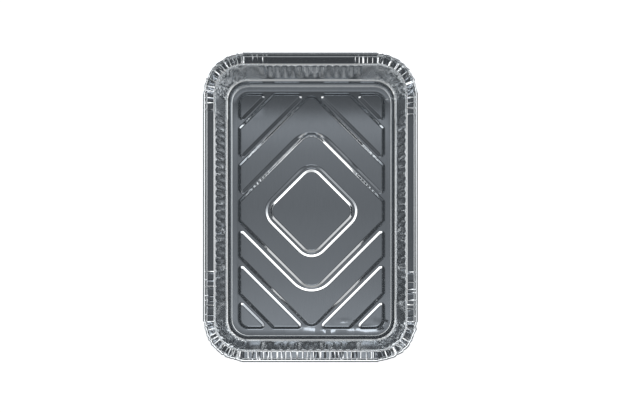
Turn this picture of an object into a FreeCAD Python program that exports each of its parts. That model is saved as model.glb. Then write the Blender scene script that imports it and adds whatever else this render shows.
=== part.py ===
import FreeCAD, Part
import math
import os

import Sketcher

# An oblong tray pressed from one sheet of thin aluminium foil, open at the top.
# X runs along the length, Z is up, and the origin is the centre of the underside.
# Sizes are in millimetres and degrees.
SIZES = [
    ("length", 310, "overall length over the curled edge"),
    ("width", 215, "overall width over the curled edge"),
    ("height", 42, "from the table to the top of the curl"),
    ("foil", 0.1, "thickness of the foil"),
    ("heel", 5, "bend radius between the base and the lower wall"),
    ("lower_lean", 18, "angle of the lower wall from upright"),
    ("shoulder_corner", 20.6, "corner radius of the inside of the shoulder"),
    ("shoulder_height", 10.5, "height of the shoulder above the table"),
    ("shoulder_width", 1.4, "width of the shoulder"),
    ("shoulder_rise", 0.5, "how much the shoulder climbs outwards"),
    ("wall_run", 8.1, "how far the fluted wall leans out"),
    ("ledge_drop", 5.5, "depth of the lid ledge below the top of the curl"),
    ("ledge_width", 7.3, "width of the lid ledge"),
    ("flare", 1.1, "how far the upright edge leans out"),
    ("curl", 1.2, "inside radius of the curled edge"),
    ("curl_return", 1.0, "how far the curl comes down past its widest point"),
    ("flute_pitch", 7.5, "spacing of the flutes"),
    ("flute_width", 5.8, "width of a flute"),
    ("flute_depth", 0.9, "how far a flute is pressed outwards"),
    ("flute_side", 1.4, "width of the sloping side of a flute"),
    ("flute_end", 2.2, "length of the sloping end of a flute"),
    ("flute_gap", 0.9, "plain strip of wall above and below a flute"),
    ("end_margin", 13.5, "plain wall between the last flute and a corner, on the ends"),
    ("side_margin", 19, "plain wall between the last flute and a corner, on the long sides"),
    ("bends", 10, "number of bends in a corner, with a flat facet and a pleat between them"),
    ("pleat_width", 2.2, "width of a pleat on the ledge and the upright edge"),
    ("pleat_depth", 0.8, "height of a pleat on the ledge and the upright edge"),
    ("gather_width", 1.7, "width of a pleat on the corner of the fluted wall"),
    ("gather_depth", 0.5, "height of a pleat on the corner of the fluted wall"),
    ("pleat_setback", 0.5, "plain strip at each end of a pleat"),
    ("panel_rise", 1.8, "how far the panels of the base stand up"),
    ("panel_slope", 33, "angle of the edges of the panels"),
    ("panel_margin", 9.6, "from the inside of the shoulder to the panels"),
    ("panel_corner", 11, "corner radius of the field of panels"),
    ("channel", 2.2, "width of the flat bottom of the diagonal channels"),
    ("diamond_reach", 49.5, "centre to tip of the middle diamond"),
    ("middle_reach", 88.4, "centre to tip of the panel around the diamond"),
    ("band_reach", 126.2, "centre to tip of the bent bands"),
    ("strip_reach", 166, "centre to tip of the straight strips, if they met"),
    ("diamond_corner", 12, "corner radius of the middle diamond"),
]

doc = FreeCAD.newDocument("foil_tray")
sheet = doc.addObject("Spreadsheet::Sheet", "sizes")
for row, (alias, value, meaning) in enumerate(SIZES, start=1):
    sheet.set("A%d" % row, str(value))
    sheet.setAlias("A%d" % row, alias)
    sheet.set("B%d" % row, meaning)
doc.recompute()

QUARTERS = (0, 90, 180, 270)
UP = FreeCAD.Vector(0, 0, 1)


def size(alias):
    """The value of one driving size."""
    return float(sheet.get(alias))


def worked_out(expression):
    """The value of an expression of driving sizes."""
    result = sheet.evalExpression(expression)
    return float(getattr(result, "Value", result))


# Distances outward from the axis of the corner bends, from the flat base to the outermost edge.
HEEL_RUN = "(sizes.heel * cos(sizes.lower_lean))"
LOWER_RISE = "(sizes.shoulder_height - sizes.heel + sizes.heel * sin(sizes.lower_lean))"
LOWER_RUN = "(%s * tan(sizes.lower_lean))" % LOWER_RISE
BASE_CORNER = "(sizes.shoulder_corner - %s - %s)" % (HEEL_RUN, LOWER_RUN)
SHOULDER_OUT = "(sizes.shoulder_corner + sizes.shoulder_width)"
LEDGE_IN = "(%s + sizes.wall_run)" % SHOULDER_OUT
LEDGE_OUT = "(%s + sizes.ledge_width)" % LEDGE_IN
CURL_IN = "(%s + sizes.flare)" % LEDGE_OUT
OUTERMOST = "(%s + 2 * sizes.curl + sizes.foil)" % CURL_IN

# Places of the four corner axes, which every bend of the walls shares.
AXIS_X = "(sizes.length / 2 - %s)" % OUTERMOST
AXIS_Y = "(sizes.width / 2 - %s)" % OUTERMOST

# Heights of the underside of the foil. The heel is drawn with three bends, and the curl with
# one every 45 degrees. The upper skin of the curl stands off from the lower one by the foil
# over the cosine of half a bend.
HEEL_BENDS = 3
CURL_BEND = 45
SHOULDER_TOP = "(sizes.shoulder_height + sizes.shoulder_rise)"
LEDGE = "(sizes.height - sizes.ledge_drop)"
CURL_AXIS = "(sizes.height - sizes.curl - sizes.foil / cos(%g))" % (CURL_BEND / 2)


def arc_points(centre_x, centre_z, radius, angles):
    """Points on a circle in the plane of the section, at the given angles."""
    points = []
    for angle in angles:
        turn = math.radians(angle)
        points.append((centre_x + radius * math.cos(turn), centre_z + radius * math.sin(turn)))
    return points


def underside():
    """The underside of the foil from the base to the end of the curl, outward and upward."""
    heel = size("heel")
    heel_turn = (90 - size("lower_lean")) / HEEL_BENDS
    curl = size("curl")
    curl_x = worked_out(CURL_IN) + curl
    curl_z = worked_out(CURL_AXIS)
    heel_angles = [-90 + heel_turn * bend for bend in range(HEEL_BENDS + 1)]
    points = arc_points(worked_out(BASE_CORNER), heel, heel, heel_angles)
    points.append((size("shoulder_corner"), size("shoulder_height")))
    points.append((worked_out(SHOULDER_OUT), worked_out(SHOULDER_TOP)))
    points.append((worked_out(LEDGE_IN), worked_out(LEDGE)))
    points.append((worked_out(LEDGE_OUT), worked_out(LEDGE)))
    points.extend(arc_points(curl_x, curl_z, curl, range(180, -1, -CURL_BEND)))
    points.append((curl_x + curl, curl_z - size("curl_return")))
    return points


def offset_left(points, distance):
    """The same line moved to its left by a distance, with mitred bends."""
    normals = []
    for (x0, z0), (x1, z1) in zip(points, points[1:]):
        run = math.hypot(x1 - x0, z1 - z0)
        normals.append((-(z1 - z0) / run, (x1 - x0) / run))
    before = [normals[0]] + normals
    after = normals + [normals[-1]]
    moved = []
    for (x, z), (ax, az), (bx, bz) in zip(points, before, after):
        stretch = distance / (1 + ax * bx + az * bz)
        moved.append((x + (ax + bx) * stretch, z + (az + bz) * stretch))
    return moved


def bind(thing, prop, expression):
    """Ties a property to the driving sizes."""
    thing.setExpression(prop, expression)


def place_on_quarter(thing, turn, across, along="0"):
    """Puts a thing beside the tray's centre, turned about the vertical in steps of 90 degrees."""
    thing.Placement = FreeCAD.Placement(FreeCAD.Vector(), FreeCAD.Rotation(UP, turn))
    cosine = round(math.cos(math.radians(turn)))
    sine = round(math.sin(math.radians(turn)))
    bind(thing, "Placement.Base.x", "%d * %s - %d * %s" % (cosine, across, sine, along))
    bind(thing, "Placement.Base.y", "%d * %s + %d * %s" % (sine, across, cosine, along))


def own_feature(body, role):
    """One of the planes or axes of a body's own origin."""
    return [item for item in body.Origin.OriginFeatures if item.Role == role][0]


def new_sketch(body, name, role, lift):
    """A sketch on a plane of the body's origin, moved along the plane's normal."""
    sketch = body.newObject("Sketcher::SketchObject", name)
    sketch.AttachmentSupport = [(own_feature(body, role), "")]
    sketch.MapMode = "FlatFace"
    bind(sketch, "AttachmentOffset.Base.z", lift)
    return sketch


def polygon(sketch, corners):
    """A closed outline whose corners are pairs of expressions."""
    values = [FreeCAD.Vector(worked_out(x), worked_out(y), 0) for x, y in corners]
    count = len(corners)
    for index in range(count):
        line = Part.LineSegment(values[index], values[(index + 1) % count])
        sketch.addGeometry(line, False)
    for index in range(count):
        following = (index + 1) % count
        sketch.addConstraint(Sketcher.Constraint("Coincident", index, 2, following, 1))
    for index, (x, y) in enumerate(corners):
        for kind, expression in (("DistanceX", x), ("DistanceY", y)):
            value = worked_out(expression)
            number = sketch.addConstraint(Sketcher.Constraint(kind, -1, 1, index, 1, value))
            bind(sketch, "Constraints[%d]" % number, expression)


def rounded_box(sketch, half_x, half_y, radius):
    """A rectangle about the origin with rounded corners, sized by expressions."""
    a = worked_out(half_x)
    b = worked_out(half_y)
    r = worked_out(radius)
    centres = ((a - r, b - r), (r - a, b - r), (r - a, r - b), (a - r, r - b))
    for index, (x, y) in enumerate(centres):
        circle = Part.Circle(FreeCAD.Vector(x, y, 0), UP, r)
        start = math.radians(QUARTERS[index])
        sketch.addGeometry(Part.ArcOfCircle(circle, start, start + math.pi / 2), False)
    for index in range(4):
        following = (index + 1) % 4
        start = sketch.Geometry[index].EndPoint
        end = sketch.Geometry[following].StartPoint
        line = sketch.addGeometry(Part.LineSegment(start, end), False)
        sketch.addConstraint(Sketcher.Constraint("Tangent", index, 2, line, 1))
        sketch.addConstraint(Sketcher.Constraint("Tangent", line, 2, following, 1))
        direction = "Horizontal" if index % 2 == 0 else "Vertical"
        sketch.addConstraint(Sketcher.Constraint(direction, line))
    for index in (1, 2, 3):
        sketch.addConstraint(Sketcher.Constraint("Equal", 0, index))
    sketch.addConstraint(Sketcher.Constraint("Symmetric", 0, 3, 2, 3, -1, 1))
    number = sketch.addConstraint(Sketcher.Constraint("Radius", 0, r))
    bind(sketch, "Constraints[%d]" % number, radius)
    number = sketch.addConstraint(Sketcher.Constraint("DistanceX", -1, 1, 0, 3, a - r))
    bind(sketch, "Constraints[%d]" % number, "%s - %s" % (half_x, radius))
    number = sketch.addConstraint(Sketcher.Constraint("DistanceY", -1, 1, 0, 3, b - r))
    bind(sketch, "Constraints[%d]" % number, "%s - %s" % (half_y, radius))


def pad(body, name, sketch, length):
    """Extrudes a sketch, by a length along its normal."""
    feature = body.newObject("PartDesign::Pad", name)
    feature.Profile = sketch
    bind(feature, "Length", length)
    return feature


def section():
    """The foil in section at the middle of one end, from the heel to the end of the curl."""
    under = underside()
    over = offset_left(under, size("foil"))
    axis = worked_out(AXIS_X)
    outline = [FreeCAD.Vector(axis + x, 0, z) for x, z in under + over[::-1]]
    feature = doc.addObject("Part::Feature", "foil_section")
    feature.Shape = Part.makePolygon(outline + outline[:1])
    return feature


def outline_around(name, radius):
    """The outline of the tray at a distance from the corner axes, with flat facets in the corners."""
    half_x = worked_out(AXIS_X)
    half_y = worked_out(AXIS_Y)
    bends = round(size("bends"))
    half_bend = math.radians(90 / bends / 2)
    points = [FreeCAD.Vector(half_x + radius, 0, 0)]
    for quarter, (sign_x, sign_y) in enumerate(((1, 1), (-1, 1), (-1, -1), (1, -1))):
        for bend in range(bends):
            turn = math.radians(90 * quarter) + half_bend * (2 * bend + 1)
            reach = radius / math.cos(half_bend)
            x = sign_x * half_x + reach * math.cos(turn)
            y = sign_y * half_y + reach * math.sin(turn)
            points.append(FreeCAD.Vector(x, y, 0))
    feature = doc.addObject("Part::Feature", name)
    feature.Shape = Part.makePolygon(points + points[:1])
    return feature


def walls():
    """The walls, ledge and edge: the section carried around the tray and mitred at each bend."""
    feature = doc.addObject("Part::Sweep", "walls")
    feature.Sections = [section()]
    feature.Spine = (outline_around("heel_line", worked_out(BASE_CORNER)), [])
    feature.Transition = "Right corner"
    feature.Solid = True
    return feature


def base_plate():
    """The flat bottom of the tray, inside the heel."""
    feature = doc.addObject("Part::Extrusion", "base_plate")
    feature.Base = outline_around("base_line", worked_out(BASE_CORNER))
    feature.DirMode = "Custom"
    feature.Dir = UP
    feature.Solid = True
    bind(feature, "LengthFwd", "sizes.foil")
    return feature


# A pressed form is a solid added on the skin that it is pressed towards, and a slightly
# smaller solid taken from the other skin, so that the foil keeps its thickness.
ADDED = "added"
TAKEN = "taken"


def inset(kind, slope):
    """How far the outline of a pressed form moves in on its own skin, by the slope of its sides."""
    if kind == ADDED:
        return "0"
    return "sizes.foil * tan(%s / 2)" % slope


WALL_LEAN = math.degrees(math.atan2(size("wall_run"), worked_out("%s - %s" % (LEDGE, SHOULDER_TOP))))
WALL_LENGTH = "sqrt(sizes.wall_run ^ 2 + (%s - %s) ^ 2)" % (LEDGE, SHOULDER_TOP)


def flute_row(kind, turn, across, half_run, margin):
    """The row of flutes on one straight wall. In the body's own frame Y points out of the wall."""
    body = doc.addObject("PartDesign::Body", "flutes_%s_%d" % (kind, turn))
    side_inset = inset(kind, "atan(sizes.flute_depth / sizes.flute_side)")
    end_inset = inset(kind, "atan(sizes.flute_depth / sizes.flute_end)")
    half_width = "(sizes.flute_width / 2 - %s)" % side_inset
    half_length = "(%s / 2 - sizes.flute_gap - %s)" % (WALL_LENGTH, end_inset)
    count = "floor(2 * (%s - %s) / sizes.flute_pitch)" % (half_run, margin)
    first = "(-(%s - 1) / 2 * sizes.flute_pitch)" % count
    flute = body.newObject("PartDesign::AdditiveWedge", body.Name + "_flute")
    bind(flute, "Xmin", "%s - %s" % (first, half_width))
    bind(flute, "Xmax", "%s + %s" % (first, half_width))
    bind(flute, "X2min", "%s - %s + sizes.flute_side" % (first, half_width))
    bind(flute, "X2max", "%s + %s - sizes.flute_side" % (first, half_width))
    bind(flute, "Zmin", "-%s" % half_length)
    bind(flute, "Zmax", half_length)
    bind(flute, "Z2min", "-%s + sizes.flute_end" % half_length)
    bind(flute, "Z2max", "%s - sizes.flute_end" % half_length)
    level = "0" if kind == ADDED else "-sizes.foil"
    bind(flute, "Ymin", level)
    bind(flute, "Ymax", "%s + sizes.flute_depth" % level)
    row = body.newObject("PartDesign::LinearPattern", body.Name + "_row")
    row.Originals = [flute]
    row.Direction = (own_feature(body, "X_Axis"), [""])
    bind(row, "Length", "(%s - 1) * sizes.flute_pitch" % count)
    bind(row, "Occurrences", count)
    body.Tip = row
    lean = math.radians(WALL_LEAN)
    along = FreeCAD.Vector(0, 1, 0)
    outward = FreeCAD.Vector(math.cos(lean), 0, -math.sin(lean))
    spin = FreeCAD.Rotation(UP, turn)
    middle_out = worked_out("%s + (%s + %s) / 2" % (across, SHOULDER_OUT, LEDGE_IN))
    middle_up = worked_out("(%s + %s) / 2" % (SHOULDER_TOP, LEDGE))
    middle = spin.multVec(FreeCAD.Vector(middle_out, 0, middle_up))
    lie = spin.multiply(FreeCAD.Rotation(along, outward, along.cross(outward), "XYZ"))
    body.Placement = FreeCAD.Placement(middle, lie)
    return body


def block(name, half_x, half_y, radius, level, rise, spread, turn):
    """A rounded box with sloping sides, widening upwards by the spread angle."""
    sketch = doc.addObject("Sketcher::SketchObject", name + "_outline")
    rounded_box(sketch, half_x, half_y, radius)
    sketch.Placement = FreeCAD.Placement(FreeCAD.Vector(), FreeCAD.Rotation(UP, turn))
    bind(sketch, "Placement.Base.z", level)
    feature = doc.addObject("Part::Extrusion", name)
    feature.Base = sketch
    feature.DirMode = "Normal"
    feature.Solid = True
    bind(feature, "LengthFwd", rise)
    bind(feature, "TaperAngle", spread)
    return feature


def cut(name, base, tool):
    """One solid less another."""
    feature = doc.addObject("Part::Cut", name)
    feature.Base = base
    feature.Tool = tool
    return feature


def fuse(name, pieces):
    """Several solids joined into one."""
    feature = doc.addObject("Part::MultiFuse", name)
    feature.Shapes = pieces
    feature.Refine = True
    return feature


def raised_floor(kind):
    """The panels of the base: one field, divided by diagonal channels that form nested diamonds."""
    shrink = inset(kind, "sizes.panel_slope")
    level = "sizes.foil" if kind == ADDED else "0"
    lean = "(90 - sizes.panel_slope)"
    half_x = "(%s + sizes.shoulder_corner - sizes.panel_margin - %s)" % (AXIS_X, shrink)
    half_y = "(%s + sizes.shoulder_corner - sizes.panel_margin - %s)" % (AXIS_Y, shrink)
    radius = "(sizes.panel_corner - %s)" % shrink
    field = block("field_" + kind, half_x, half_y, radius, level, "sizes.panel_rise", "-" + lean, 0)
    channels = []
    for name in ("diamond", "middle", "band", "strip"):
        label = "%s_%s" % (name, kind)
        near = "(sizes.%s_reach / sqrt(2) - %s)" % (name, shrink)
        near_radius = "(sizes.diamond_corner - %s)" % shrink
        far = "(sizes.%s_reach / sqrt(2) + sizes.channel + %s)" % (name, shrink)
        far_radius = "(sizes.diamond_corner + sizes.channel + %s)" % shrink
        rise = "2 * sizes.panel_rise"
        inside = block(label + "_near", near, near, near_radius, level, rise, "-" + lean, 45)
        outside = block(label + "_far", far, far, far_radius, level, rise, lean, 45)
        channels.append(cut(label + "_channel", outside, inside))
    return cut("panels_" + kind, field, fuse("channels_" + kind, channels))


def ridge(body, name, role, lift, corners, rise, direction=None):
    """A three-sided ridge, repeated around the corner."""
    sketch = new_sketch(body, name + "_outline", role, lift)
    polygon(sketch, corners)
    feature = pad(body, name + "_ridge", sketch, rise)
    if direction:
        feature.UseCustomVector = True
        feature.Direction = direction
        feature.AlongSketchNormal = True
    doc.recompute()
    pattern = body.newObject("PartDesign::PolarPattern", name + "_pleats")
    pattern.Originals = [feature]
    pattern.Axis = (own_feature(body, "Z_Axis"), [""])
    bind(pattern, "Angle", "90 * (sizes.bends - 2) / sizes.bends")
    bind(pattern, "Occurrences", "sizes.bends - 1")
    body.Tip = pattern


def standing_ridge(body, name, kind, foot, head, width, depth):
    """Ridges pressed outwards on a leaning corner wall, between two points of its section."""
    foot_x, foot_z = foot
    head_x, head_z = head
    end = "sizes.pleat_setback" if kind == ADDED else "(sizes.pleat_setback + sizes.foil)"
    lean = "((%s - %s) / (%s - %s))" % (head_x, foot_x, head_z, foot_z)
    skin = "(%s + %s * %s)" % (foot_x, end, lean)
    if kind == ADDED:
        tip = "(%s + %s)" % (skin, depth)
        back = "(%s - sizes.foil / 2)" % skin
    else:
        tip = "(%s + %s - sizes.foil * sqrt(1 + (2 * %s / %s) ^ 2))" % (skin, depth, depth, width)
        back = "(%s - 2 * sizes.foil)" % skin
    half = "((%s - %s) * %s / %s / 2)" % (tip, back, width, depth)
    corners = [(back, half), (back, "-%s" % half), (tip, "0")]
    rise = "%s - %s - 2 * %s" % (head_z, foot_z, end)
    ridge(body, name, "XY_Plane", "%s + %s" % (foot_z, end), corners, rise,
          FreeCAD.Vector(worked_out(lean), 0, 1))


def corner_pleats(kind, turn, across, along):
    """The pleats of one corner: across the ledge, up the upright edge and up the fluted wall."""
    body = doc.addObject("PartDesign::Body", "pleats_%s_%d" % (kind, turn))
    name = body.Name
    slope = "atan(2 * sizes.pleat_depth / sizes.pleat_width)"
    half = "(sizes.pleat_width / 2 - %s)" % inset(kind, slope)
    top = "(%s * 2 * sizes.pleat_depth / sizes.pleat_width)" % half
    level = "(%s + sizes.foil)" % LEDGE if kind == ADDED else LEDGE
    end = "sizes.pleat_setback" if kind == ADDED else "(sizes.pleat_setback + sizes.foil)"
    corners = [("-%s" % half, level), (half, level), ("0", "%s + %s" % (level, top))]
    ridge(body, name + "_ledge", "YZ_Plane", "%s + %s" % (LEDGE_IN, end), corners,
          "sizes.ledge_width - 2 * %s" % end)
    standing_ridge(body, name + "_edge", kind, (LEDGE_OUT, LEDGE), (CURL_IN, CURL_AXIS),
                   "sizes.pleat_width", "sizes.pleat_depth")
    standing_ridge(body, name + "_wall", kind, (SHOULDER_OUT, SHOULDER_TOP), (LEDGE_IN, LEDGE),
                   "sizes.gather_width", "sizes.gather_depth")
    place_on_quarter(body, turn, across, along)
    body.Placement.Rotation = FreeCAD.Rotation(UP, turn + 90 / size("bends"))
    return body


SIDES = ((0, AXIS_X, AXIS_Y, "sizes.end_margin"), (90, AXIS_Y, AXIS_X, "sizes.side_margin"),
         (180, AXIS_X, AXIS_Y, "sizes.end_margin"), (270, AXIS_Y, AXIS_X, "sizes.side_margin"))
sheet_parts = [base_plate(), walls()]
raised = [raised_floor(ADDED)]
sunk = [raised_floor(TAKEN)]
for turn, across, half_run, margin in SIDES:
    raised.append(flute_row(ADDED, turn, across, half_run, margin))
    sunk.append(flute_row(TAKEN, turn, across, half_run, margin))
    raised.append(corner_pleats(ADDED, turn, across, half_run))
    sunk.append(corner_pleats(TAKEN, turn, across, half_run))
solid = fuse("pressed_outside", sheet_parts + raised)
hollow = doc.addObject("Part::Compound", "pressed_inside")
hollow.Links = sunk
tray = cut("foil_tray", solid, hollow)
doc.recompute()

for item in doc.Objects:
    if "Invalid" in item.State or "Error" in item.State:
        raise RuntimeError("%s failed: %s" % (item.Name, item.getStatusString()))
nodes = [tray]
for node in nodes:
    if node.Shape.isNull() or not node.Shape.isValid() or len(node.Shape.Solids) != 1:
        raise RuntimeError("%s is not one valid solid" % node.Label)
os.makedirs("parts", exist_ok=True)
for node in nodes:
    node.Shape.exportStep(os.path.join("parts", node.Label + ".step"))
    box = node.Shape.BoundBox
    print(node.Label, round(node.Shape.Volume, 1), len(node.Shape.Faces), box)
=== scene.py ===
"""An oblong food tray pressed from one sheet of aluminium foil, seen from above."""

import math

import bpy
import numpy as np
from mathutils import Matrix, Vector, geometry, noise


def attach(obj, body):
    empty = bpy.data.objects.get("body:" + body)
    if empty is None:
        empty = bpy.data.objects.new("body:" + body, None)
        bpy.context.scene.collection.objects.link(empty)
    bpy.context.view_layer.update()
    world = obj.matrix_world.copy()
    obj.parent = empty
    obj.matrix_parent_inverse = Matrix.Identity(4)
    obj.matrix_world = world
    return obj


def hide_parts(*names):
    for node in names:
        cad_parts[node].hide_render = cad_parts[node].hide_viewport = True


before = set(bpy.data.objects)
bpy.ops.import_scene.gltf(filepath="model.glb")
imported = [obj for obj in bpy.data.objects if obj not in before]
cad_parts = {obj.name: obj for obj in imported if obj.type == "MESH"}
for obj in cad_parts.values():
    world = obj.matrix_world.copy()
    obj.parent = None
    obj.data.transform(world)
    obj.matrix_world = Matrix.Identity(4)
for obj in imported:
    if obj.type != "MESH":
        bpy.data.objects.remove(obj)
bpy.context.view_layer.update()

# Sizes are in millimetres, as in the part's source, until the mesh is made. The far end is at +X,
# the left side at +Y.
MM = 0.001
LENGTH = 310.0
WIDTH = 215.0
HEIGHT = 42.0
FOIL = 0.1

# The upright axes of the four corners, which the curl passes at this distance.
OUTERMOST = 41.0
AXIS_X = LENGTH / 2 - OUTERMOST
AXIS_Y = WIDTH / 2 - OUTERMOST

# The section of the upper skin. A point is a distance out from the corner axes and a height.
# The fluted wall has two lines, one along the bottom of a flute and one along the land between two.
LEDGE_DROP = 5.4
LEDGE = HEIGHT - LEDGE_DROP
FLOOR_RING = (12.0, FOIL)
HEEL = (17.6, FOIL)
HEEL_RADIUS = 0.4
HEEL_STEPS = 3
SHOULDER_IN = (20.5, 10.55)
SHOULDER_OUT = (21.6, 11.35)
LAND_FOOT = (22.3, 12.2)
LAND_MIDDLE = (24.9, 23.6)
LAND_HEAD = (28.6, 34.6)
LAND_RADII = (1.6, 15.0, 2.0)
FLUTE_MIDDLE = (26.1, 23.6)
FLUTE_HEAD = (29.9, 35.6)
FLUTE_RADII = (0.2, 15.0, 2.0)
WALL_BEND_STEPS = 6
WALL_HEIGHTS = (11.25, 11.6, 12.2, 13.2, 14.5, 17.5, 21.5, 25.5, 29.5, 32.0, 33.4, 34.3, 35.0, 35.6, 36.1)
LEDGE_IN = (30.5, LEDGE)
LEDGE_IN_RADIUS = 0.3
LEDGE_OUT = (37.5, LEDGE)
LEDGE_OUT_RADIUS = 0.5
LEDGE_OUT_STEPS = 3
CURL_CENTRE = (39.7, 40.69)
CURL_RADIUS = 1.3
CURL_START = 165
CURL_END = -50
CURL_STEPS = 8

# Rows at these shares of a flat stretch, close to its bends, keep its shading flat.
LOWER_WALL_ROWS = (0.04,)
LEDGE_ROWS = (0.05, 0.94)
UPRIGHT_ROWS = (0.12, 0.88)

# Flutes of the straight walls. A place across a flute is counted from its middle.
FLUTE_PITCH = 7.5
FLUTES_ON_END = 14
FLUTES_ON_SIDE = 25
FLUTE_RADIUS = 3.3
FLUTE_FLOOR = 1.3
FLUTE_FLANK = 2.9
FLUTE_COLUMNS = (-FLUTE_PITCH / 2, -FLUTE_FLANK, -FLUTE_FLOOR, 0.0, FLUTE_FLOOR, FLUTE_FLANK)
FLUTE_FOOT_GAP = 0.5
FLUTE_HEAD_GAP = 0.9
FLUTE_END_JITTER = 0.35
PLAIN_WALL_SHARE = 0.45
MARGIN_STEP = 1.7

# Small creases of the straight sides. Each side has the stretches that have them, as distances
# from its middle, and their usual spacing and height. The sides are far, left, near and right.
CREASES = (
    (((-64, -38), (40, 64)), 5.0, 0.55),
    (((-112, -96), (62, 112)), 6.0, 0.6),
    (((-65, 65),), 4.2, 0.75),
    (((-112, -60), (90, 112)), 6.0, 0.6),
)
CREASE_HALF_WIDTH = 0.8
CREASE_CLEARANCE = 1.15
CREASE_FOOT_SLIDE = 0.6

# Folds of the gathered corners, with the radius in the middle of their height.
CORNER_RADIUS = 33.0
CORNER_RUN = CORNER_RADIUS * math.pi / 2
CORNER_FOLDS = 28
COLUMNS_PER_FOLD = 3
PULL_PER_RISE = 0.5

# Limits of what varies from one crease or fold to the next. Spacings and heights of creases are
# shares of the usual ones, and widths of flanks are shares of each other.
FIRST_SPACINGS = (0.3, 1.0)
SPACINGS = (0.55, 1.5)
CREASE_HEIGHTS = (0.6, 1.1)
CREASE_SLANTS = (-1.1, 1.1)
STEEP_FLANKS = (0.2, 0.38)
GENTLE_FLANKS = (0.45, 1.0)
VALLEYS = (-0.2, 0.15)
RIDGES = (0.6, 1.3)
FOLD_SLANTS = (-1.3, 1.3)
FOLD_PULLS = (0.15, 1.4)
FOLD_DROPS = (0.15, 0.7)

# Slanted ripples of the wall, at full height in the corners.
RIPPLE = 0.8
RIPPLE_ON_SIDES = 0.04
RIPPLE_WIDTH = 2.6
RIPPLE_LENGTH = 7.0
RIPPLE_SLANT = 0.9
RIPPLE_LAYER = 3.0

# Raised panels of the base. A reach is where the foot of an edge would meet the long axis, and a
# tip is the radius of the bend there. Two reaches differ between the far end, 1, and the near, -1.
PANEL_RISE = 1.8
PANEL_EDGE = 2.77
EDGE_ROUNDING = 0.35
EDGE_SUPPORT = 0.7
FIELD_X = 124.8
FIELD_Y = 77.5
FIELD_CORNER = 11.0
PANEL_CORNER = 4.0
DIAMOND = 49.5
DIAMOND_TIP = 13.0
RING_HOLE = 52.6
RING_HOLE_TIP = 16.0
RING = 88.4
RING_TIP = 17.0
BAND_NEAR = {1: 90.9, -1: 92.7}
BAND_NEAR_TIP = 25.0
BAND = 126.2
BAND_TIP = 10.0
STRIP_NEAR = {1: 129.3, -1: 129.8}
STRIP = 165.4
CORNER_NEAR = 168.7

# The mesh of the base: steps along outlines and arcs, and loose points kept clear of the edges.
LEAST_RADIUS = 0.4
ARC_DEGREES = 10
LEAST_ARC_STEPS = 3
OUTLINE_STEP = 4.0
TEST_OUTLINE_STEP = 7.0
FLOOR_STEP = 7.0
FLOOR_JITTER = 1.2
EDGE_CLEARANCE = 1.2
RING_CLEARANCE = 0.8
MERGE_DISTANCE = 1e-4

# Unevenness of the base. A wave is its size, layer of noise and height. The dents lie in the
# margin at the near end, from the right side to the middle.
WAVES = ((45.0, 1.5, 0.03), (15.0, 7.5, 0.004))
DENT = 0.4
DENT_POINTS_X = (-125.5, -110, 1.8)
DENT_POINTS_Y = (-76, 24, 2.6)
DENTS_END_X = -113.0
DENTS_FADE_X = 6.0
DENTS_END_Y = 25.0
DENT_SIZE = (5.0, 14.0)
DENT_LAYER = 4.5
DENT_SPREAD = 0.25

# Roughness of the foil where each stretch of the section starts.
BASE_ROUGHNESS = 0.05
SIDE_ROUGHNESS = {"floor": 0.05, "heel": 0.12, "lower": 0.08, "shoulder": 0.1, "wall": 0.24,
                  "lip": 0.12, "end": 0.08}
CORNER_ROUGHNESS = {"floor": 0.05, "heel": 0.12, "lower": 0.08, "shoulder": 0.1, "wall": 0.15,
                    "lip": 0.1, "end": 0.06}

# Bends sharper than this are shaded as edges. UV counts in units of this many millimetres.
SHARP_ANGLE = 24
UV_UNIT = 100.0

SEED = 20
rng = np.random.default_rng(SEED)


def smooth(value):
    """An S-shaped ramp from 0 to 1."""
    t = np.clip(value, 0.0, 1.0)
    return t * t * (3 - 2 * t)


def fillet(before, corner, after, radius, steps):
    """Points of an arc that rounds a corner of a line."""
    b, c, a = Vector(before), Vector(corner), Vector(after)
    back = (b - c).normalized()
    ahead = (a - c).normalized()
    half = back.angle(ahead) / 2
    centre = c + (back + ahead).normalized() * (radius / math.sin(half))
    start = c + back * (radius / math.tan(half)) - centre
    turn = math.pi - 2 * half
    if back.x * ahead.y - back.y * ahead.x > 0:
        turn = -turn
    points = []
    for i in range(steps + 1):
        t = turn * i / steps
        spun = Vector((start.x * math.cos(t) - start.y * math.sin(t),
                       start.x * math.sin(t) + start.y * math.cos(t)))
        points.append((centre + spun)[:])
    return points


def between(first, last, shares):
    """Points on a straight stretch of the section."""
    a, b = Vector(first), Vector(last)
    return [a.lerp(b, share)[:] for share in shares]


def wall_profile(corners, radii):
    """Distances at the wall heights, along a line with rounded corners."""
    line = [corners[0]]
    for before, corner, after, radius in zip(corners, corners[1:], corners[2:], radii):
        line += fillet(before, corner, after, radius, WALL_BEND_STEPS)
    line.append(corners[-1])
    line = np.array(line)
    return np.interp(WALL_HEIGHTS, line[:, 1], line[:, 0])


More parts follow.
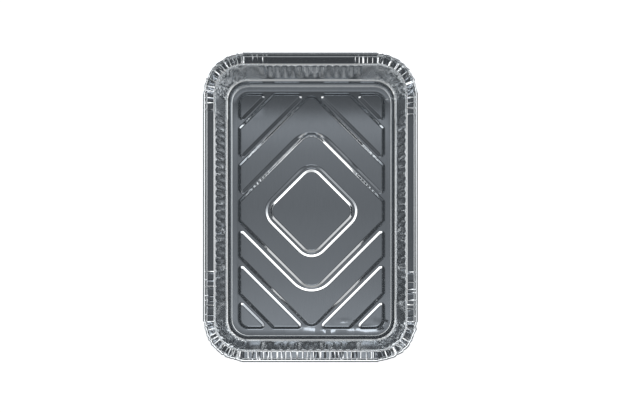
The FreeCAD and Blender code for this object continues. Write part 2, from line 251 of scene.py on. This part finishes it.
def section_rows():
    """The rows of the section on a flute and on a land, and the first row of each stretch."""
    curl = []
    for i in range(CURL_STEPS + 1):
        angle = math.radians(CURL_START + (CURL_END - CURL_START) * i / CURL_STEPS)
        curl.append((CURL_CENTRE[0] + CURL_RADIUS * math.cos(angle),
                     CURL_CENTRE[1] + CURL_RADIUS * math.sin(angle)))
    heel = fillet(FLOOR_RING, HEEL, SHOULDER_IN, HEEL_RADIUS, HEEL_STEPS)
    lip = fillet(FLUTE_HEAD, LEDGE_IN, LEDGE_OUT, LEDGE_IN_RADIUS, 1)
    bend = fillet(LEDGE_IN, LEDGE_OUT, curl[0], LEDGE_OUT_RADIUS, LEDGE_OUT_STEPS)
    flute_line = wall_profile((SHOULDER_IN, SHOULDER_OUT, FLUTE_MIDDLE, FLUTE_HEAD, LEDGE_IN), FLUTE_RADII)
    land_line = wall_profile((SHOULDER_IN, LAND_FOOT, LAND_MIDDLE, LAND_HEAD, LEDGE_IN), LAND_RADII)
    stretches = {
        "floor": [FLOOR_RING],
        "heel": heel,
        "lower": between(heel[-1], SHOULDER_IN, LOWER_WALL_ROWS),
        "shoulder": [SHOULDER_IN],
        "wall": list(zip(flute_line, WALL_HEIGHTS)),
        "lip": lip,
        "ledge": between(lip[-1], bend[0], LEDGE_ROWS),
        "bend": bend,
        "upright": between(bend[-1], curl[0], UPRIGHT_ROWS),
        "curl": curl,
    }
    rows = []
    first = {}
    for name, points in stretches.items():
        first[name] = len(rows)
        rows += points
    land = np.array(rows)
    land[first["wall"]:first["lip"], 0] = land_line
    return np.array(rows), land, first


FLUTE_ROWS, LAND_ROWS, FIRST = section_rows()
ROW_COUNT = len(FLUTE_ROWS)


class Column:
    """One line across the foil, from the base to the curl."""

    def __init__(self, axis, angle, around, flute=None, fold=None, crease=0.0, slant=0.0):
        self.axis = axis
        self.angle = angle
        self.around = around
        self.flute = flute
        self.fold = fold
        self.crease = crease
        self.slant = slant


def side_places(length, flutes, creases):
    """Places along a straight side: distance from its middle, place in a flute, crease, slant."""
    half_run = flutes * FLUTE_PITCH / 2
    margin = length / 2 - half_run
    steps = int(round(margin / MARGIN_STEP))
    places = [(-length / 2 + margin * i / steps, None, 0.0, 0.0) for i in range(steps)]
    for index in range(flutes):
        middle = -half_run + FLUTE_PITCH * (index + 0.5)
        places += [(middle + offset, offset, 0.0, 0.0) for offset in FLUTE_COLUMNS]
    places += [(half_run + margin * i / steps, None, 0.0, 0.0) for i in range(steps)]
    for centre, height, slant in creases:
        half = CREASE_HALF_WIDTH * CREASE_CLEARANCE + abs(slant)
        places = [p for p in places if abs(p[0] - centre) > half or p[0] == -length / 2]
        offset = None
        if abs(centre) < half_run:
            offset = (centre + half_run) % FLUTE_PITCH - FLUTE_PITCH / 2
        for shift, share in ((-CREASE_HALF_WIDTH, 0.0), (0.0, 1.0), (CREASE_HALF_WIDTH, 0.0)):
            in_flute = None if offset is None else offset + shift
            places.append((centre + shift, in_flute, height * share, slant))
    return sorted(places, key=lambda place: place[0])


def side_columns(start, angle, around, length, flutes, creases):
    """Columns of a straight side, up to but without its last corner."""
    direction = (-math.sin(angle), math.cos(angle))
    columns = []
    for along, offset, crease, slant in side_places(length, flutes, creases):
        distance = along + length / 2
        axis = (start[0] + direction[0] * distance, start[1] + direction[1] * distance)
        columns.append(Column(axis, angle, around + distance, offset, None, crease, slant))
    return columns


def corner_columns(axis, first_angle, around, steep_first):
    """Columns of a corner. Steep and gentle flanks of the folds alternate."""
    steep = rng.uniform(*STEEP_FLANKS, CORNER_FOLDS // 2)
    gentle = rng.uniform(*GENTLE_FLANKS, CORNER_FOLDS // 2)
    gaps = np.column_stack([steep, gentle] if steep_first else [gentle, steep]).ravel()
    folds = np.concatenate([[0.0], np.cumsum(gaps)]) / gaps.sum()
    columns = []
    for index in range(CORNER_FOLDS):
        for part in range(COLUMNS_PER_FOLD):
            share = part / COLUMNS_PER_FOLD
            turn = folds[index] + (folds[index + 1] - folds[index]) * share
            angle = first_angle + math.pi / 2 * turn
            columns.append(Column(axis, angle, around + CORNER_RUN * turn, None, index + share))
    return columns


def crease_list(spans, spacing, height):
    """Uneven small creases over some stretches of a side: place, height and slant."""
    creases = []
    for first, last in spans:
        place = first + rng.uniform(*FIRST_SPACINGS) * spacing
        while place < last:
            creases.append((place, height * rng.uniform(*CREASE_HEIGHTS), rng.uniform(*CREASE_SLANTS)))
            place += spacing * rng.uniform(*SPACINGS)
    return creases


def all_columns():
    """Columns right round the tray, counterclockwise from the start of the far end."""
    creases = [crease_list(*side) for side in CREASES]
    starts = ((AXIS_X, -AXIS_Y), (AXIS_X, AXIS_Y), (-AXIS_X, AXIS_Y), (-AXIS_X, -AXIS_Y))
    columns = []
    around = 0.0
    for quarter, start in enumerate(starts):
        on_end = quarter % 2 == 0
        length = 2 * AXIS_Y if on_end else 2 * AXIS_X
        flutes = FLUTES_ON_END if on_end else FLUTES_ON_SIDE
        angle = math.pi / 2 * quarter
        columns += side_columns(start, angle, around, length, flutes, creases[quarter])
        around += length
        corner = (start[0] - math.sin(angle) * length, start[1] + math.cos(angle) * length)
        columns += corner_columns(corner, angle, around, steep_first=quarter < 2)
        around += CORNER_RUN
    return columns, around


COLUMNS, WAY_ROUND = all_columns()


def row_weights(**values):
    """A weight for every row, in straight lines between the first rows of named stretches."""
    places = []
    weights = []
    for name, value in values.items():
        places.append(FIRST[name] if name != "end" else ROW_COUNT - 1)
        weights.append(value)
    return np.interp(np.arange(ROW_COUNT), places, weights)


def land_share(column, height, jitter):
    """How much of the land's profile a point of the wall follows, from 0 in a flute to 1."""
    if column.flute is None:
        return np.full(len(height), PLAIN_WALL_SHARE)
    low = SHOULDER_OUT[1] + FLUTE_RADIUS + FLUTE_FOOT_GAP + jitter[0]
    high = LEDGE - FLUTE_RADIUS - FLUTE_HEAD_GAP + jitter[1]
    past_core = np.maximum(np.maximum(low - height, height - high), 0)
    from_core = np.hypot(column.flute, past_core)
    return smooth((from_core - FLUTE_FLOOR) / (FLUTE_RADIUS - FLUTE_FLOOR))


def ripple_at(across, up):
    """Smooth slanted noise along one column."""
    return np.array([noise.noise(Vector((across + u * RIPPLE_SLANT, u, RIPPLE_LAYER))) for u in up])


def corner_folds():
    """Height, slant, inward pull and drop of each fold of one corner, none at its two ends."""
    count = CORNER_FOLDS + 1
    folds = np.zeros((count, 4))
    folds[0::2, 0] = rng.uniform(*VALLEYS, len(folds[0::2]))
    folds[1::2, 0] = rng.uniform(*RIDGES, len(folds[1::2]))
    folds[:, 1] = np.repeat(rng.uniform(*FOLD_SLANTS, count // 2 + 1), 2)[:count]
    folds[:, 2] = rng.uniform(*FOLD_PULLS, count)
    folds[:, 3] = rng.uniform(*FOLD_DROPS, count)
    folds[0] = 0
    folds[-1] = 0
    return folds


def wall_grid():
    """Places of all points of the walls, as an array of columns by rows by three."""
    lift = row_weights(wall=0.0, lip=0.3, ledge=0.75, bend=1.0, upright=0.5, curl=0.0, end=0.0)
    pull = row_weights(ledge=0.0, bend=0.1, upright=0.8, curl=0.6, end=0.4)
    lean = row_weights(wall=-0.6, lip=0.0, bend=1.0, upright=0.7, curl=0.25, end=0.0)
    rim = row_weights(bend=0.0, upright=0.3, curl=0.8, end=1.0)
    wrinkle = row_weights(shoulder=0.0, wall=0.4, lip=0.3, ledge=0.0)
    wrinkle[FIRST["wall"] + 2:FIRST["lip"] - 2] = 1.0
    points = np.zeros((len(COLUMNS), ROW_COUNT, 3))
    folds = None
    jitter = rng.uniform(-FLUTE_END_JITTER, FLUTE_END_JITTER, (len(COLUMNS), 2))
    for index, column in enumerate(COLUMNS):
        share = land_share(column, FLUTE_ROWS[:, 1], jitter[index // len(FLUTE_COLUMNS)])
        distance = FLUTE_ROWS[:, 0] * (1 - share) + LAND_ROWS[:, 0] * share
        height = FLUTE_ROWS[:, 1].copy()
        angle = column.angle
        if column.fold is None:
            folds = None
            raised = column.crease
            rim_in = 0.0
            ripple = RIPPLE * RIPPLE_ON_SIDES
            slide = column.slant * (1.0 if column.crease else CREASE_FOOT_SLIDE) * lean
        else:
            if folds is None:
                folds = corner_folds()
            low = int(column.fold)
            part = column.fold - low
            raised, slant, rim_in, rim_down = folds[low] * (1 - part) + folds[low + 1] * part
            height -= rim_down * rim
            ripple = RIPPLE
            slide = slant * lean
        distance += ripple * ripple_at(column.around / RIPPLE_WIDTH, height / RIPPLE_LENGTH) * wrinkle
        height += raised * lift
        distance -= PULL_PER_RISE * max(raised, 0.0) * pull + rim_in * rim
        if column.fold is None:
            x = math.cos(angle) * distance - math.sin(angle) * slide
            y = math.sin(angle) * distance + math.cos(angle) * slide
        else:
            turned = angle + slide / CORNER_RADIUS
            x = np.cos(turned) * distance
            y = np.sin(turned) * distance
        points[index] = np.column_stack([column.axis[0] + x, column.axis[1] + y, height])
    return points


def rounded(corners, offset):
    """A rounded outline, moved inwards, from corners given counterclockwise with their radii."""
    count = len(corners)
    places = [Vector(place) for place, radius in corners]
    moved = []
    for i in range(count):
        into = (places[i] - places[i - 1]).normalized()
        away = (places[(i + 1) % count] - places[i]).normalized()
        normal_in = Vector((-into.y, into.x))
        normal_out = Vector((-away.y, away.x))
        middle = (normal_in + normal_out).normalized()
        moved.append(places[i] + middle * (offset / middle.dot(normal_in)))
    points = []
    for i in range(count):
        before, here, after = moved[i - 1], moved[i], moved[(i + 1) % count]
        into = (here - before).normalized()
        away = (after - here).normalized()
        bulges = into.x * away.y - into.y * away.x > 0
        radius = max(corners[i][1] + (-offset if bulges else offset), LEAST_RADIUS)
        steps = max(LEAST_ARC_STEPS, int(round(math.degrees(into.angle(away)) / ARC_DEGREES)))
        points += [Vector(p) for p in fillet(before, here, after, radius, steps)]
    return points


def outline_points(corners, offset, spacing):
    """A moved outline with points at about even steps, alike in number for all offsets."""
    plain = rounded(corners, 0.0)
    moved = rounded(corners, offset)
    spaced = []
    for i, here in enumerate(moved):
        after = (i + 1) % len(moved)
        pieces = max(1, int(round((plain[after] - plain[i]).length / spacing)))
        spaced += [here.lerp(moved[after], step / pieces) for step in range(pieces)]
    return spaced


def mirrored(corners, sign_x, sign_y):
    """Corners of a panel in another quarter of the base, kept counterclockwise."""
    moved = [((x * sign_x, y * sign_y), radius) for (x, y), radius in corners]
    return moved if sign_x * sign_y > 0 else moved[::-1]


def diamond(reach, radius):
    """The corners of a whole diamond."""
    return [((reach, 0), radius), ((0, reach), radius), ((-reach, 0), radius), ((0, -reach), radius)]


def panels():
    """Outlines of the raised panels, each with a flag that says if it is a hole in one."""
    r = PANEL_CORNER
    ring = [((RING, 0), RING_TIP), ((RING - FIELD_Y, FIELD_Y), r), ((FIELD_Y - RING, FIELD_Y), r),
            ((-RING, 0), RING_TIP), ((FIELD_Y - RING, -FIELD_Y), r), ((RING - FIELD_Y, -FIELD_Y), r)]
    found = [(ring, False), (diamond(RING_HOLE, RING_HOLE_TIP)[::-1], True),
             (diamond(DIAMOND, DIAMOND_TIP), False)]
    for end in (1, -1):
        near = BAND_NEAR[end]
        band = [((BAND, 0), BAND_TIP), ((BAND - FIELD_Y, FIELD_Y), r), ((near - FIELD_Y, FIELD_Y), r),
                ((near, 0), BAND_NEAR_TIP), ((near - FIELD_Y, -FIELD_Y), r), ((BAND - FIELD_Y, -FIELD_Y), r)]
        found.append((mirrored(band, end, 1), False))
        near = STRIP_NEAR[end]
        strip = [((FIELD_X, near - FIELD_X), r), ((FIELD_X, STRIP - FIELD_X), r),
                 ((STRIP - FIELD_Y, FIELD_Y), r), ((near - FIELD_Y, FIELD_Y), r)]
        corner = [((FIELD_X, CORNER_NEAR - FIELD_X), r), ((FIELD_X, FIELD_Y), FIELD_CORNER),
                  ((CORNER_NEAR - FIELD_Y, FIELD_Y), r)]
        for side in (1, -1):
            found.append((mirrored(strip, end, side), False))
            found.append((mirrored(corner, end, side), False))
    return found


def inside(outline, x, y):
    """Which of many points lie inside an outline."""
    result = np.zeros(x.shape, bool)
    for i, b in enumerate(outline):
        a = outline[i - 1]
        if a.y == b.y:
            continue
        crosses = (a.y > y) != (b.y > y)
        at = a.x + (y - a.y) * (b.x - a.x) / (b.y - a.y)
        result ^= crosses & (x < at)
    return result


def edge_loops():
    """How far in each line along a panel's edge lies, and its share of the rise."""
    start = EDGE_ROUNDING / PANEL_EDGE / 4
    further = EDGE_ROUNDING / PANEL_EDGE
    return ((-EDGE_SUPPORT, 0.0), (-EDGE_ROUNDING, 0.0), (0.0, start), (EDGE_ROUNDING, further),
            (PANEL_EDGE - EDGE_ROUNDING, 1 - further), (PANEL_EDGE, 1 - start),
            (PANEL_EDGE + EDGE_ROUNDING, 1.0), (PANEL_EDGE + EDGE_SUPPORT, 1.0))


def floor_wave(x, y):
    """The slight unevenness of the raised panels."""
    return sum(height * noise.noise(Vector((x / size, y / size, layer))) for size, layer, height in WAVES)


def near_dents(x, y):
    """Shallow dents in the margin at the near end, to one side."""
    strength = smooth((DENTS_END_X - x) / DENTS_FADE_X) * smooth((DENTS_END_Y - y) / DENTS_END_Y)
    shape = noise.noise(Vector((x / DENT_SIZE[0], y / DENT_SIZE[1], DENT_LAYER)))
    return DENT * float(strength) * max(0.0, shape + DENT_SPREAD)


def loose_points():
    """X and Y of points strewn over the base, closer together where the dents are."""
    plain = np.meshgrid(np.arange(-FIELD_X, FIELD_X, FLOOR_STEP), np.arange(-FIELD_Y, FIELD_Y, FLOOR_STEP))
    dented = np.meshgrid(np.arange(*DENT_POINTS_X), np.arange(*DENT_POINTS_Y))
    x, y = [np.concatenate([a.ravel(), b.ravel()]) for a, b in zip(plain, dented)]
    x = x + rng.uniform(-FLOOR_JITTER, FLOOR_JITTER, x.shape)
    y = y + rng.uniform(-FLOOR_JITTER, FLOOR_JITTER, y.shape)
    return x, y


def base_mesh(ring):
    """Points and triangles of the base up to a ring, and what each point was made from."""
    places = [Vector((p[0], p[1])) for p in ring]
    shares = [0.0] * len(places)
    edges = [(i, (i + 1) % len(ring)) for i in range(len(ring))]
    loose_x, loose_y = loose_points()
    raised = np.zeros(loose_x.shape, bool)
    skipped = np.zeros(loose_x.shape, bool)
    for corners, hole in panels():
        for offset, share in edge_loops():
            outline = outline_points(corners, offset, OUTLINE_STEP)
            first = len(places)
            places += outline
            shares += [share] * len(outline)
            edges += [(first + i, first + (i + 1) % len(outline)) for i in range(len(outline))]
        foot = outline_points(corners, -EDGE_CLEARANCE, TEST_OUTLINE_STEP)
        top = outline_points(corners, PANEL_EDGE + EDGE_CLEARANCE, TEST_OUTLINE_STEP)
        in_top = inside(top, loose_x, loose_y)
        skipped |= inside(foot, loose_x, loose_y) ^ in_top
        if hole:
            raised &= ~in_top
        else:
            raised |= in_top
    corner_x = np.maximum(np.abs(loose_x) - AXIS_X, 0)
    corner_y = np.maximum(np.abs(loose_y) - AXIS_Y, 0)
    skipped |= np.hypot(corner_x, corner_y) > FLOOR_RING[0] - RING_CLEARANCE
    for x, y, up, skip in zip(loose_x, loose_y, raised, skipped):
        if not skip:
            places.append(Vector((x, y)))
            shares.append(1.0 if up else 0.0)
    flat, _, triangles, sources, _, _ = geometry.delaunay_2d_cdt(places, edges, [], 1, MERGE_DISTANCE)
    points = []
    for vert, source in zip(flat, sources):
        share = shares[source[0]] if source else 0.0
        height = FOIL + share * (PANEL_RISE + floor_wave(vert.x, vert.y)) + near_dents(vert.x, vert.y)
        points.append((vert.x, vert.y, height))
    return points, [tuple(triangle) for triangle in triangles], sources


def set_finish(mesh):
    """Two values at every point for the material: gathered or not, and roughness."""
    gather = np.zeros(len(mesh.vertices), dtype=np.float32)
    satin = np.full(len(mesh.vertices), BASE_ROUGHNESS, dtype=np.float32)
    on_side = row_weights(**SIDE_ROUGHNESS)
    in_corner = row_weights(**CORNER_ROUGHNESS)
    for index, column in enumerate(COLUMNS):
        first = index * ROW_COUNT
        if column.fold is None:
            satin[first:first + ROW_COUNT] = on_side
        else:
            satin[first:first + ROW_COUNT] = in_corner
            gather[first + FIRST["shoulder"]:first + ROW_COUNT] = 1.0
    for name, values in (("gather", gather), ("satin", satin)):
        layer = mesh.attributes.new(name, "FLOAT", "POINT")
        layer.data.foreach_set("value", values)


def foil_mesh():
    """One sheet: the walls right round, closed by the base."""
    grid = wall_grid()
    count = len(COLUMNS)
    points = grid.reshape(-1, 3).tolist()
    around = [column.around for column in COLUMNS] + [WAY_ROUND]
    section = np.concatenate([[0.0], np.cumsum(np.hypot(*np.diff(FLUTE_ROWS, axis=0).T))])
    faces = []
    uvs = []
    for c in range(count):
        after = (c + 1) % count
        for r in range(ROW_COUNT - 1):
            faces.append((c * ROW_COUNT + r, c * ROW_COUNT + r + 1,
                          after * ROW_COUNT + r + 1, after * ROW_COUNT + r))
            uvs += [(around[c], section[r]), (around[c], section[r + 1]),
                    (around[c + 1], section[r + 1]), (around[c + 1], section[r])]
    base_points, base_faces, sources = base_mesh(grid[:, 0])
    place = {}
    for index, (point, source) in enumerate(zip(base_points, sources)):
        on_ring = [s for s in source if s < count]
        if on_ring:
            place[index] = on_ring[0] * ROW_COUNT
        else:
            place[index] = len(points)
            points.append(point)
    for face in base_faces:
        faces.append(tuple(place[i] for i in face))
        uvs += [base_points[i][:2] for i in face]
    mesh = bpy.data.meshes.new("pressed_foil_tray")
    mesh.from_pydata([(x * MM, y * MM, z * MM) for x, y, z in points], [], faces)
    layer = mesh.uv_layers.new(name="foil")
    layer.data.foreach_set("uv", (np.array(uvs, dtype=np.float32) / UV_UNIT).ravel())
    set_finish(mesh)
    mesh.update()
    return mesh


# Nodes that the materials and the room share. A value is a socket or, in a sum, also a number.


def calculate(nodes, links, operation, *values):
    """The result of one sum."""
    node = nodes.new("ShaderNodeMath")
    node.operation = operation
    for socket, value in zip(node.inputs, values):
        if isinstance(value, bpy.types.NodeSocket):
            links.new(value, socket)
        else:
            socket.default_value = value
    return node.outputs["Value"]


def share_of(nodes, links, value, first, last):
    """A value as a share of the way from one limit to another."""
    node = nodes.new("ShaderNodeMapRange")
    node.inputs["From Min"].default_value = first
    node.inputs["From Max"].default_value = last
    links.new(value, node.inputs["Value"])
    return node.outputs["Result"]


def ramp(nodes, links, value, limits, levels=(0.0, 1.0)):
    """A smooth change between two levels over a range of a value."""
    node = nodes.new("ShaderNodeMapRange")
    node.interpolation_type = "SMOOTHSTEP"
    node.inputs["From Min"].default_value = limits[0]
    node.inputs["From Max"].default_value = limits[1]
    node.inputs["To Min"].default_value = levels[0]
    node.inputs["To Max"].default_value = levels[1]
    links.new(value, node.inputs["Value"])
    return node.outputs["Result"]


def stepped(nodes, links, value, stops):
    """A level that runs in straight lines between stops, given as pairs of place and level."""
    node = nodes.new("ShaderNodeValToRGB")
    elements = node.color_ramp.elements
    while len(elements) < len(stops):
        elements.new(0.5)
    for element, (place, level) in zip(elements, stops):
        element.position = place
        element.color = (level, level, level, 1)
    links.new(value, node.inputs["Fac"])
    return node.outputs["Color"]


def mix(nodes, links, share, first, second):
    """A blend of two colours or levels."""
    node = nodes.new("ShaderNodeMix")
    node.data_type = "RGBA"
    links.new(share, node.inputs["Factor"])
    links.new(first, node.inputs["A"])
    links.new(second, node.inputs["B"])
    return node.outputs["Result"]


def scaled(nodes, links, place, scale, turn=0.0):
    """A place, scaled along each axis and turned by some degrees about Z."""
    node = nodes.new("ShaderNodeMapping")
    node.inputs["Scale"].default_value = scale
    node.inputs["Rotation"].default_value = (0, 0, math.radians(turn))
    links.new(place, node.inputs["Vector"])
    return node.outputs["Vector"]


def cloudy(nodes, links, place, scale, detail):
    """Smooth noise."""
    node = nodes.new("ShaderNodeTexNoise")
    node.inputs["Scale"].default_value = scale
    node.inputs["Detail"].default_value = detail
    links.new(place, node.inputs["Vector"])
    return node.outputs["Fac"]


def attribute(nodes, name):
    """A value stored at the points of the mesh."""
    node = nodes.new("ShaderNodeAttribute")
    node.attribute_name = name
    return node.outputs["Fac"]


def bump(nodes, links, height, strength, distance):
    """A node that tilts the shading by a height, with the distance in metres."""
    node = nodes.new("ShaderNodeBump")
    node.inputs["Strength"].default_value = strength
    node.inputs["Distance"].default_value = distance
    links.new(height, node.inputs["Height"])
    return node


# The grain is drawn out along the tray, as the foil was rolled. Scales are per metre, and that of
# the crinkles is per unit of UV. A bump is its strength, and its distance in metres.
GRAIN_SCALE = (60.0, 2600.0, 2600.0)
GRAIN_DETAIL = 2.0
GRAIN_BUMP = (0.2, 0.00002)
GRAIN_LIMITS = (0.3, 0.7)
GRAIN_DARK = (0.76, 0.785, 0.80, 1)
GRAIN_LIGHT = (0.82, 0.84, 0.855, 1)
CLOUD_SCALE = 130.0
CLOUD_DETAIL = 4.0
CLOUD_ROUGHNESS = 0.03
CRINKLE_SCALE = (48.0, 20.0, 1.0)
CRINKLE_TURN = 14
CRINKLE_DETAIL = 3.0
CRINKLE_BUMP = (0.8, 0.0006)


def foil_material():
    """Bare aluminium foil with a rolled grain, crinkled where it is gathered."""
    material = bpy.data.materials.new("rolled_aluminium_foil")
    material.use_nodes = True
    nodes = material.node_tree.nodes
    links = material.node_tree.links
    shader = nodes["Principled BSDF"]
    shader.inputs["Metallic"].default_value = 1.0
    place = nodes.new("ShaderNodeTexCoord")

    grain_place = scaled(nodes, links, place.outputs["Object"], GRAIN_SCALE)
    grain = cloudy(nodes, links, grain_place, 1.0, GRAIN_DETAIL)
    tone = nodes.new("ShaderNodeValToRGB")
    for element, limit, colour in zip(tone.color_ramp.elements, GRAIN_LIMITS, (GRAIN_DARK, GRAIN_LIGHT)):
        element.position = limit
        element.color = colour
    links.new(grain, tone.inputs["Fac"])
    links.new(tone.outputs["Color"], shader.inputs["Base Color"])

    clouds = cloudy(nodes, links, place.outputs["Object"], CLOUD_SCALE, CLOUD_DETAIL)
    roughness = calculate(nodes, links, "MULTIPLY_ADD", clouds, CLOUD_ROUGHNESS, attribute(nodes, "satin"))
    links.new(roughness, shader.inputs["Roughness"])

    grained = bump(nodes, links, grain, *GRAIN_BUMP)
    crinkle_place = scaled(nodes, links, place.outputs["UV"], CRINKLE_SCALE, CRINKLE_TURN)
    crinkle = cloudy(nodes, links, crinkle_place, 1.0, CRINKLE_DETAIL)
    gathered = calculate(nodes, links, "MULTIPLY", crinkle, attribute(nodes, "gather"))
    crinkled = bump(nodes, links, gathered, *CRINKLE_BUMP)
    links.new(grained.outputs["Normal"], crinkled.inputs["Normal"])
    links.new(crinkled.outputs["Normal"], shader.inputs["Normal"])
    return material


def make_tray():
    """The tray as one piece in place of the frame's solid."""
    mesh = foil_mesh()
    tray = bpy.data.objects.new("pressed_foil_tray", mesh)
    bpy.context.scene.collection.objects.link(tray)
    mesh.shade_smooth()
    mesh.set_sharp_from_angle(angle=math.radians(SHARP_ANGLE))
    mesh.materials.append(foil_material())
    thick = tray.modifiers.new("thickness", "SOLIDIFY")
    thick.thickness = FOIL * MM
    thick.offset = -1
    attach(tray, "root")
    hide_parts("foil_tray")


# The camera looks straight down, with the tray's long side upright in the picture. The point
# straight below the lens, the centre of the base and the focal length are given in pixels, and the
# camera's height above the floor is in metres.
IMAGE_WIDTH = 620
IMAGE_HEIGHT = 413
NADIR = (329.0, 278.0)
BASE_CENTRE = (311.5, 211.2)
FOCAL_LENGTH = 661.0
CAMERA_HEIGHT = 0.700
SENSOR = 36.0


def make_camera():
    """The camera, from the places of the nadir and of the centre of the base."""
    scale = CAMERA_HEIGHT / FOCAL_LENGTH
    data = bpy.data.cameras.new("camera")
    data.sensor_width = SENSOR
    data.lens = SENSOR * FOCAL_LENGTH / IMAGE_WIDTH
    data.shift_x = (IMAGE_WIDTH / 2 - NADIR[0]) / IMAGE_WIDTH
    data.shift_y = (NADIR[1] - IMAGE_HEIGHT / 2) / IMAGE_WIDTH
    camera = bpy.data.objects.new("camera", data)
    camera.location = ((BASE_CENTRE[1] - NADIR[1]) * scale,
                       (BASE_CENTRE[0] - NADIR[0]) * scale, CAMERA_HEIGHT)
    camera.rotation_euler = (0, 0, -math.pi / 2)
    bpy.context.scene.collection.objects.link(camera)
    bpy.context.scene.camera = camera


# Light levels of the room by direction. The overhead panel changes along X, and ends at some
# distance to each side of its middle and at some degrees from overhead. Past it the level is set by
# the degrees from overhead, up to a bright band right round, which changes along X and fades out
# above the horizon, lower down towards -X.
OVERHEAD = ((-0.40, 0.9), (-0.18, 1.0), (-0.125, 0.3), (-0.05, 0.25), (0.0, 0.20), (0.11, 0.155),
            (0.19, 0.19), (0.215, 0.25), (0.234, 0.26), (0.244, 0.105), (0.30, 0.05))
OVERHEAD_MIDDLE_Y = 0.0185
OVERHEAD_SIDE = (0.115, 0.135)
OVERHEAD_END = (24, 28)
BESIDE = ((14, 0.08), (42, 0.05), (49, 0.11), (56, 0.24))
BAND_START = (49, 58)
BAND_END = (73, 78)
BAND_TILT = 0.16
BAND_FULL = 2.2
BAND_REST = 0.25
BAND_LEVELS = ((-1.0, 0.5), (-0.8, 0.45), (-0.68, 0.5), (-0.58, 0.8), (-0.4, 0.85), (0.0, 1.4),
               (0.6, 2.2), (1.0, 2.2))
UPPER_TINT = (0.93, 1.0, 1.09, 1)
BAND_TINT = (1.0, 1.0, 1.0, 1)


def make_world():
    """A room with a soft panel overhead, dim round it, and a bright band round its sides."""
    world = bpy.data.worlds.new("studio")
    bpy.context.scene.world = world
    world.use_nodes = True
    nodes = world.node_tree.nodes
    links = world.node_tree.links
    place = nodes.new("ShaderNodeTexCoord")
    split = nodes.new("ShaderNodeSeparateXYZ")
    links.new(place.outputs["Generated"], split.inputs["Vector"])
    x, y, z = split.outputs["X"], split.outputs["Y"], split.outputs["Z"]
    angle = calculate(nodes, links, "ARCCOSINE", z)

    panel = stepped(nodes, links, share_of(nodes, links, x, -0.5, 0.5),
                    [(place_x + 0.5, level) for place_x, level in OVERHEAD])
    beside = stepped(nodes, links, share_of(nodes, links, angle, 0.0, math.pi / 2),
                     [(degrees / 90, level) for degrees, level in BESIDE])
    off_middle = calculate(nodes, links, "SUBTRACT", y, OVERHEAD_MIDDLE_Y)
    sideways = calculate(nodes, links, "ABSOLUTE", off_middle)
    past_side = ramp(nodes, links, sideways, OVERHEAD_SIDE)
    past_end = ramp(nodes, links, angle, np.radians(OVERHEAD_END))
    outside = calculate(nodes, links, "MAXIMUM", past_side, past_end)
    upper = mix(nodes, links, outside, panel, beside)

    in_band = ramp(nodes, links, angle, np.radians(BAND_START))
    along_band = stepped(nodes, links, share_of(nodes, links, x, -1.0, 1.0),
                         [(place_x / 2 + 0.5, level / BAND_FULL) for place_x, level in BAND_LEVELS])
    tilted = calculate(nodes, links, "MULTIPLY_ADD", x, BAND_TILT, angle)
    fading = ramp(nodes, links, tilted, np.radians(BAND_END), (BAND_FULL, BAND_REST * BAND_FULL))
    band = calculate(nodes, links, "MULTIPLY", along_band, fading)
    level = mix(nodes, links, in_band, upper, band)

    tint = nodes.new("ShaderNodeMix")
    tint.data_type = "RGBA"
    tint.inputs["A"].default_value = UPPER_TINT
    tint.inputs["B"].default_value = BAND_TINT
    links.new(in_band, tint.inputs["Factor"])
    colour = nodes.new("ShaderNodeMix")
    colour.data_type = "RGBA"
    colour.blend_type = "MULTIPLY"
    colour.inputs["Factor"].default_value = 1.0
    links.new(level, colour.inputs["A"])
    links.new(tint.outputs["Result"], colour.inputs["B"])
    links.new(colour.outputs["Result"], nodes["Background"].inputs["Color"])


# The floor reaches this many metres from the middle of the tray.
FLOOR_HALF = 10.0
FLOOR_GREY = 0.45
FLOOR_GLOW = 0.88
FLOOR_ROUGHNESS = 0.9


def make_floor():
    """A white floor that keeps the tray's shadow. Its glow shows to the camera and in reflections."""
    mesh = bpy.data.meshes.new("floor")
    corners = [(-1, -1), (1, -1), (1, 1), (-1, 1)]
    mesh.from_pydata([(x * FLOOR_HALF, y * FLOOR_HALF, 0) for x, y in corners], [], [(0, 1, 2, 3)])
    floor = bpy.data.objects.new("floor", mesh)
    bpy.context.scene.collection.objects.link(floor)
    material = bpy.data.materials.new("white_floor")
    material.use_nodes = True
    nodes = material.node_tree.nodes
    links = material.node_tree.links
    shader = nodes["Principled BSDF"]
    shader.inputs["Base Color"].default_value = (FLOOR_GREY, FLOOR_GREY, FLOOR_GREY, 1)
    shader.inputs["Roughness"].default_value = FLOOR_ROUGHNESS
    shader.inputs["Specular IOR Level"].default_value = 0.0
    shader.inputs["Emission Color"].default_value = (1, 1, 1, 1)
    path = nodes.new("ShaderNodeLightPath").outputs
    seen = calculate(nodes, links, "MAXIMUM", path["Is Camera Ray"], path["Is Glossy Ray"])
    seen = calculate(nodes, links, "MAXIMUM", seen, path["Is Transmission Ray"])
    links.new(calculate(nodes, links, "MULTIPLY", seen, FLOOR_GLOW), shader.inputs["Emission Strength"])
    mesh.materials.append(material)


bpy.context.scene.view_settings.view_transform = "Standard"
make_camera()
make_tray()
make_world()
make_floor()

bpy.context.view_layer.update()
